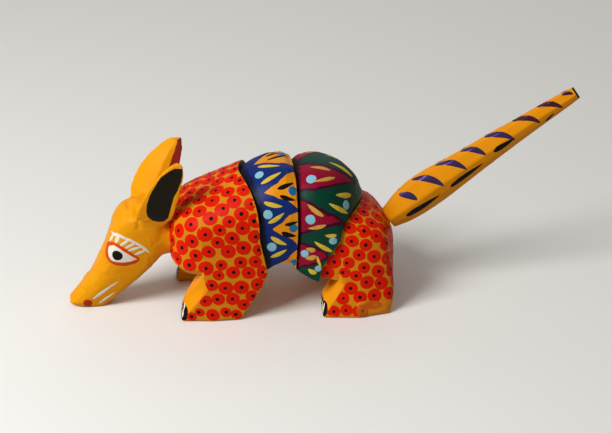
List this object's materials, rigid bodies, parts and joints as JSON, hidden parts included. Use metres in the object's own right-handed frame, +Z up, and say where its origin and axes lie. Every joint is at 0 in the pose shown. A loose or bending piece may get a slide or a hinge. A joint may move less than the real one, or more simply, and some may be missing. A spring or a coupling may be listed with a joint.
{
  "type": "carved wooden armadillo",
  "caption": "Small hand-carved, painted wooden armadillo with stepped armour bands, upright ears, nose on the ground and a long straight tail that plugs into its rump on a peg.",
  "frame": {"origin": "on the ground, at the middle of the bounding box in plan", "axes": "+X from the nose to the tail, +Z up, the animal's left side towards -Y"},
  "size_m": [0.1803, 0.048, 0.073],
  "materials": {
    "painted_body": "satin paint over carved wood",
    "painted_head": "satin paint over carved wood",
    "painted_ear": "satin paint over carved wood",
    "painted_tail": "satin paint over carved wood",
    "bare_wood": "bare"
  },
  "bodies": {
    "figure": {"body": "painted_body", "head": "painted_head", "ear_left": "painted_ear", "ear_right": "painted_ear", "neck_dowel": "bare_wood", "ear_peg_left": "bare_wood", "ear_peg_right": "bare_wood"},
    "peg": {"tail_dowel": "bare_wood"},
    "tail": {"tail": "painted_tail"}
  },
  "joints": [
    {"name": "tail_pull", "type": "slide", "parent": "figure", "child": "peg", "axis": [0.832, 0, 0.5548], "range_m": [0, 0.016]},
    {"name": "tail_turn", "type": "hinge", "parent": "peg", "child": "tail", "pos_m": [0.02323, 0, 0.02682], "axis": [0.832, 0, 0.5548], "continuous": true}
  ]
}
